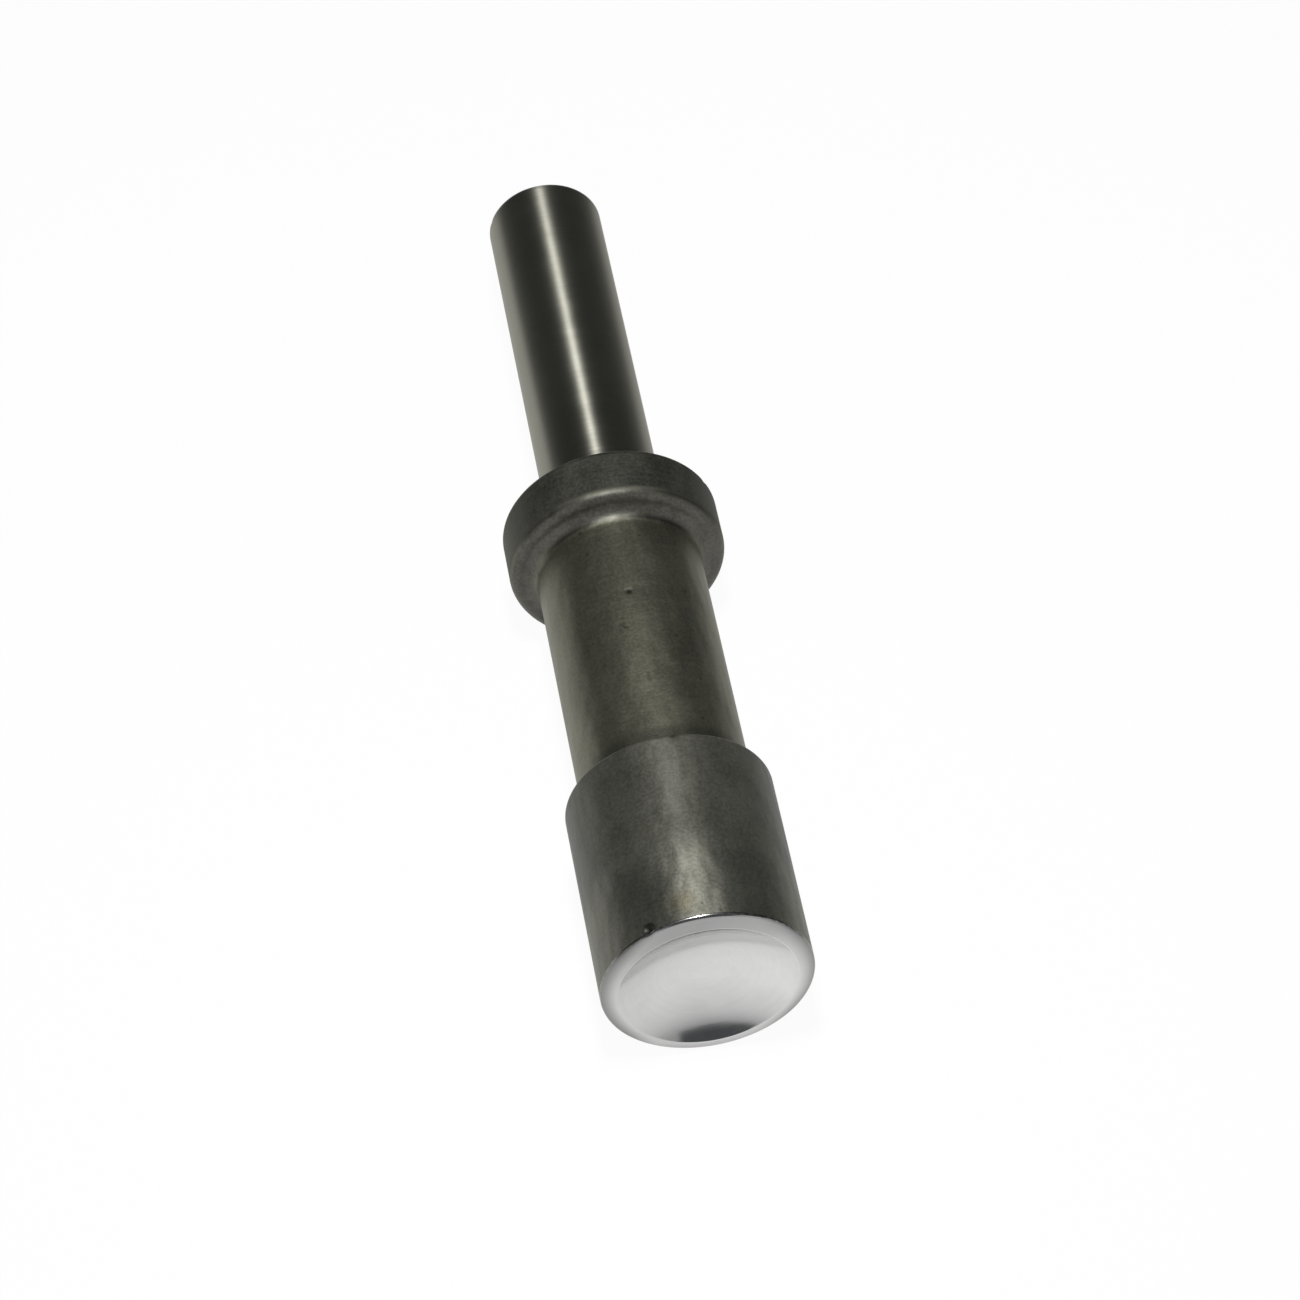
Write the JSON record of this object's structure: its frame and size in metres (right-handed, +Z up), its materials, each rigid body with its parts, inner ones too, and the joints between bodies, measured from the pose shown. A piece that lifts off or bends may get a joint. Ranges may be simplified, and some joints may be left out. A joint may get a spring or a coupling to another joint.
{
  "type": "rivet set",
  "caption": "One-piece steel rivet set for an air hammer: straight ground shank, round retaining collar, plain neck and a cylindrical head with a shallow, polished cup in its end.",
  "frame": {"origin": "on the tool's axis, where the straight ground shank meets its tapered root, which is where it seats in the hammer's nose", "axes": "the tool lies on its side: +Y along its axis from the cup to the struck end, +Z up, +X to the right when one looks into the cup from the front"},
  "size_m": [0.0185, 0.0881, 0.0184],
  "materials": {
    "tool_steel": "hardened tool steel with a dark oxide skin, ground on the shank and polished bright in the cup and on its rim"
  },
  "bodies": {
    "root": {"rivet_set": "tool_steel"}
  },
  "joints": []
}
